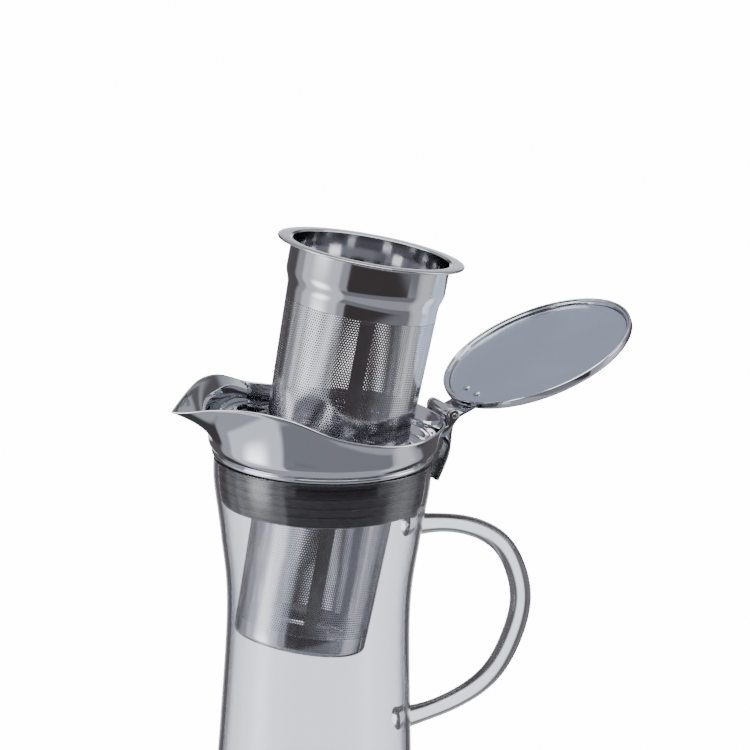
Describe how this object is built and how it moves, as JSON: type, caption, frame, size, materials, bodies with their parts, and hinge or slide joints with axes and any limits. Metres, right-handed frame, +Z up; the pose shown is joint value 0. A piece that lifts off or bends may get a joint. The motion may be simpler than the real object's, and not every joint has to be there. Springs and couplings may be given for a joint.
{
  "type": "glass infuser jug",
  "caption": "Glass tea infuser jug with a spouted chrome collar, silicone neck seal, hinged lid with thumb lever, and a tall etched infuser drawn half out.",
  "frame": {"origin": "centre of the jug's flat base", "axes": "+Z up along the jug's axis, +X to the handle and the lid hinge, the spout to -X"},
  "size_m": [0.2017, 0.097, 0.2937],
  "materials": {
    "glass": "clear borosilicate glass, polished",
    "chrome": "mirror chrome on steel",
    "steel": "satin stainless steel",
    "lid_steel": "fine satin stainless sheet",
    "etched_mesh": "thin stainless sheet with a fine etched perforation",
    "silicone": "matt dark grey silicone"
  },
  "bodies": {
    "jug": {"glass_jug": "glass", "glass_handle": "glass"},
    "collar": {"spout_collar": "chrome", "throat_sleeve": "chrome", "neck_seal": "silicone", "hinge_bracket": "chrome", "hinge_pin": "steel"},
    "lid": {"lid_cap": "chrome", "lid_underplate": "lid_steel", "lid_arm": "chrome", "lid_rivet_left": "steel", "lid_rivet_right": "steel"},
    "infuser": {"infuser_rim": "chrome", "infuser_mesh_sleeve": "etched_mesh", "infuser_seam_strip": "steel", "infuser_base_cup": "steel"}
  },
  "joints": [
    {"name": "collar_lift", "type": "slide", "parent": "jug", "child": "collar", "axis": [0, 0, 1], "range_m": [0, 0.19]},
    {"name": "lid_hinge", "type": "hinge", "parent": "collar", "child": "lid", "pos_m": [0.0537, 0, 0.2171], "axis": [0, -1, 0], "range_deg": [0, 156]},
    {"name": "infuser_lift", "type": "hinge", "parent": "collar", "child": "infuser", "pos_m": [0.51913, 0, 0.13083], "axis": [0, -1, 0], "range_deg": [0, 9.62]}
  ],
  "couplings": [
    {"joint": "infuser_lift", "follows": "lid_hinge", "ratio": 0.061667}
  ]
}
